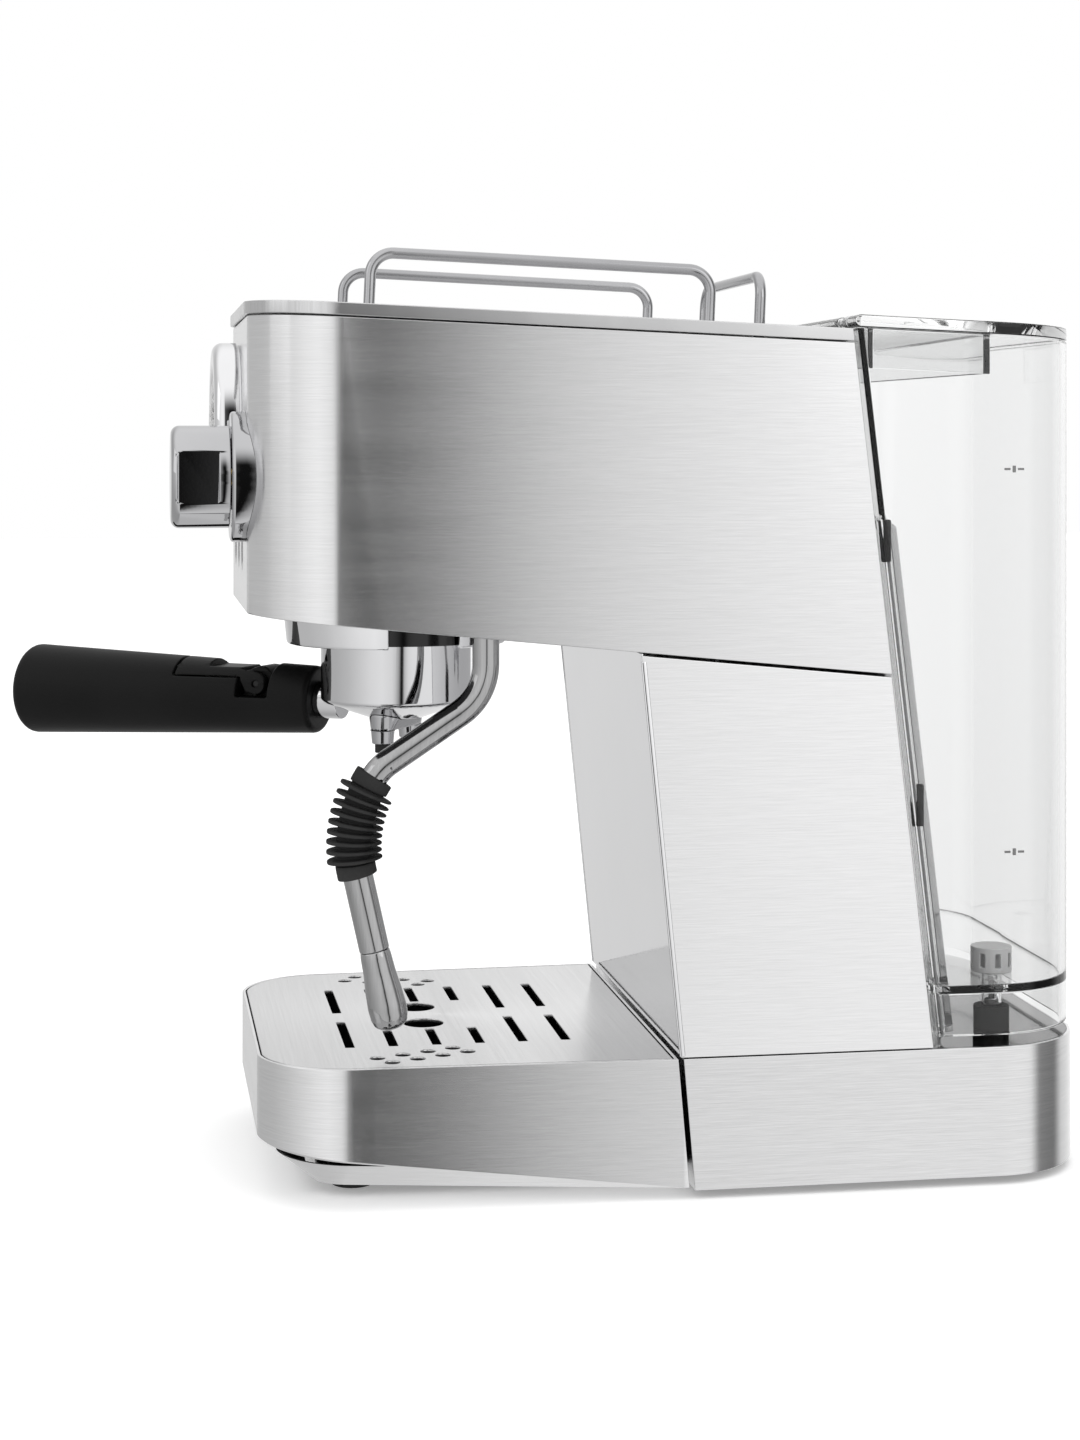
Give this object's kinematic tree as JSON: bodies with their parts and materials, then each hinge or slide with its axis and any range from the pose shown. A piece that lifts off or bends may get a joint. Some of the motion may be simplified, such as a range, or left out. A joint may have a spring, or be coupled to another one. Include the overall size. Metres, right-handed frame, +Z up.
{
  "type": "espresso machine",
  "caption": "Pump espresso machine with steel housing on a leaning column, drip tray, twin-spout portafilter, steam wand, pressure gauge and clear rear water tank.",
  "frame": {"origin": "On the counter, at the centre of the footprint of the base and drip tray, on the machine's centre plane.", "axes": "+Z up, -Y to the front where the portafilter and the gauge are, +X to the user's right where the steam wand is."},
  "size_m": [0.178, 0.3849, 0.329],
  "materials": {
    "brushed_steel": "satin brushed steel, grain along the panel",
    "top_steel": "fine satin steel",
    "polished_steel": "polished steel",
    "chrome": "bright chrome plating",
    "black_plastic": "fine textured black plastic",
    "gloss_black": "glossy black plastic",
    "black_rubber": "soft black rubber",
    "grey_panel": "satin grey plastic",
    "clear_plastic": "clear moulded plastic",
    "clear_lens": "clear domed lens",
    "dial_face": "black printed dial with plain marks",
    "needle_red": "red painted needle",
    "spring_steel": "bare spring wire",
    "steel_parts": "bare steel",
    "cast_alloy": "cast alloy",
    "brass_parts": "turned brass",
    "gasket_rubber": "dark rubber",
    "hose_white": "milky hose",
    "board_green": "circuit board"
  },
  "bodies": {
    "machine": {"housing_wrap": "brushed_steel", "top_plate": "top_steel", "side_rails": "polished_steel", "rear_rail": "polished_steel", "housing_floor": "black_plastic", "column_front": "polished_steel", "column_sides": "brushed_steel", "rear_panel": "grey_panel", "chassis": "steel_parts", "base_skirt": "brushed_steel", "base_pan": "black_plastic", "rubber_feet": "black_rubber", "tank_deck": "gloss_black", "valve_socket": "black_rubber", "cable_gland": "black_plastic", "group_shroud": "chrome", "group_head": "cast_alloy", "group_gasket": "gasket_rubber", "shower_screen": "steel_parts", "screen_screw": "steel_parts", "gauge_bezel": "chrome", "gauge_case": "steel_parts", "gauge_dial": "dial_face", "gauge_glass": "clear_lens", "knob_collar": "chrome", "steam_valve": "brass_parts", "wand_nut": "chrome", "boiler": "cast_alloy", "pump": "steel_parts", "pump_mounts": "gasket_rubber", "water_hoses": "hose_white", "control_board": "board_green"},
    "tray": {"drip_tray": "brushed_steel", "drip_basin": "black_plastic"},
    "grid": {"drip_grid": "top_steel"},
    "basket": {"filter_basket": "polished_steel", "basket_spring": "spring_steel"},
    "portafilter": {"portafilter_body": "chrome", "twin_spout": "chrome", "spout_tips": "black_rubber", "handle_stud": "steel_parts", "handle_grip": "black_plastic", "lever_pin": "spring_steel"},
    "lever": {"basket_lever": "gloss_black"},
    "knob": {"steam_knob": "chrome", "valve_stem": "brass_parts"},
    "needle": {"gauge_needle": "needle_red"},
    "wand": {"wand_pipe": "chrome", "wand_boot": "black_rubber", "froth_tube": "chrome", "froth_nozzle": "chrome"},
    "tank": {"water_tank": "clear_plastic", "valve_spring": "spring_steel", "intake_filter": "grey_panel"},
    "lid": {"tank_lid": "clear_plastic", "lid_pin": "spring_steel"},
    "valve": {"tank_valve": "gasket_rubber"},
    "power": {"power_button": "polished_steel"},
    "coffee": {"coffee_button": "polished_steel"},
    "steam": {"steam_button": "polished_steel"}
  },
  "joints": [
    {"name": "tray_slide", "type": "slide", "parent": "machine", "child": "tray", "axis": [0, -1, 0], "range_m": [0, 0.18]},
    {"name": "grid_lift", "type": "slide", "parent": "tray", "child": "grid", "axis": [0, 0, 1], "range_m": [0, 0.0025]},
    {"name": "portafilter_drop", "type": "slide", "parent": "machine", "child": "basket", "axis": [0, 0, -1], "range_m": [0, 0.035]},
    {"name": "portafilter_turn", "type": "hinge", "parent": "basket", "child": "portafilter", "pos_m": [0, -0.0934, 0.1645], "axis": [0, 0, 1], "range_deg": [0, 45]},
    {"name": "basket_lever_flip", "type": "hinge", "parent": "portafilter", "child": "lever", "pos_m": [-0.0273, -0.13883, 0.1705], "axis": [-0.8572, 0.515, 0], "range_deg": [0, 45]},
    {"name": "steam_knob_turn", "type": "hinge", "parent": "machine", "child": "knob", "pos_m": [0.0395, -0.1561, 0.2488], "axis": [0, -1, 0], "range_deg": [0, 270]},
    {"name": "gauge_needle_sweep", "type": "hinge", "parent": "machine", "child": "needle", "pos_m": [-0.012, -0.1536, 0.2667], "axis": [0, 1, 0], "range_deg": [0, 270], "stiffness_Nm_per_rad": 0.002},
    {"name": "wand_swivel", "type": "hinge", "parent": "machine", "child": "wand", "pos_m": [0.059, -0.0683, 0.2045], "axis": [0, 0, 1], "range_deg": [-15, 80]},
    {"name": "tank_lift", "type": "slide", "parent": "machine", "child": "tank", "axis": [0, 0, 1], "range_m": [0, 0.26]},
    {"name": "tank_lid_hinge", "type": "hinge", "parent": "tank", "child": "lid", "pos_m": [0, 0.06079, 0.3034], "axis": [1, 0, 0], "range_deg": [0, 80]},
    {"name": "tank_valve_lift", "type": "slide", "parent": "tank", "child": "valve", "axis": [0, 0, 1], "range_m": [0, 0.002], "stiffness_N_per_m": 200, "deforming": ["valve_spring"]},
    {"name": "power_button_press", "type": "slide", "parent": "machine", "child": "power", "axis": [0, 1, 0], "range_m": [0, 0.0015], "stiffness_N_per_m": 800},
    {"name": "coffee_button_press", "type": "slide", "parent": "machine", "child": "coffee", "axis": [0, 1, 0], "range_m": [0, 0.0015], "stiffness_N_per_m": 800},
    {"name": "steam_button_press", "type": "slide", "parent": "machine", "child": "steam", "axis": [0, 1, 0], "range_m": [0, 0.0015], "stiffness_N_per_m": 800}
  ]
}
